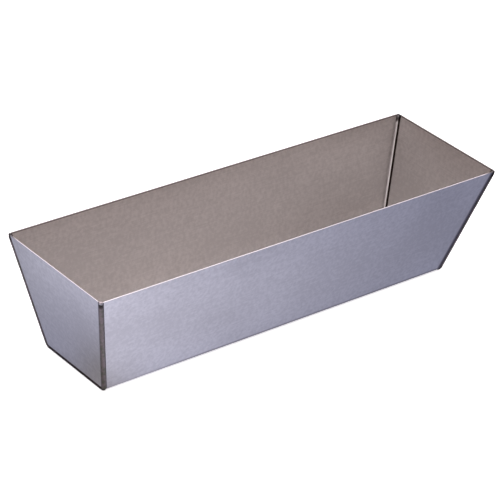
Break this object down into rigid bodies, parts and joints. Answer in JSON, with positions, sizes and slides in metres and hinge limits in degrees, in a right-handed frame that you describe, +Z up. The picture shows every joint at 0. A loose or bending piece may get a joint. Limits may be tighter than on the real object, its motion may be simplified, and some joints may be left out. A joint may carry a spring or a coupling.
{
  "type": "mud pan",
  "caption": "Long open drywall mud pan in bare stainless sheet, with leaning walls, a flat floor, flat ends and TIG-welded corners, for holding joint compound.",
  "frame": {"origin": "on the resting plane, under the middle of the floor", "axes": "+X along the pan to its right end, +Y to its rear wall, +Z up; seen with the front wall nearest, the left end is at -X"},
  "size_m": [0.3566, 0.1068, 0.0868],
  "materials": {
    "trough_sheet": "satin mill finish, fine grain along the pan",
    "end_cap_sheet": "satin mill finish, fine grain across the pan",
    "seam_weld": "as welded, brown heat tint, fine ripples",
    "rim_tack": "as welded, dressed level with the rim"
  },
  "bodies": {
    "root": {"trough": "trough_sheet", "left_end_cap": "end_cap_sheet", "right_end_cap": "end_cap_sheet", "left_front_seam_weld": "seam_weld", "left_floor_seam_weld": "seam_weld", "left_rear_seam_weld": "seam_weld", "left_front_rim_tack": "rim_tack", "left_rear_rim_tack": "rim_tack", "right_front_seam_weld": "seam_weld", "right_floor_seam_weld": "seam_weld", "right_rear_seam_weld": "seam_weld", "right_front_rim_tack": "rim_tack", "right_rear_rim_tack": "rim_tack"}
  },
  "joints": []
}
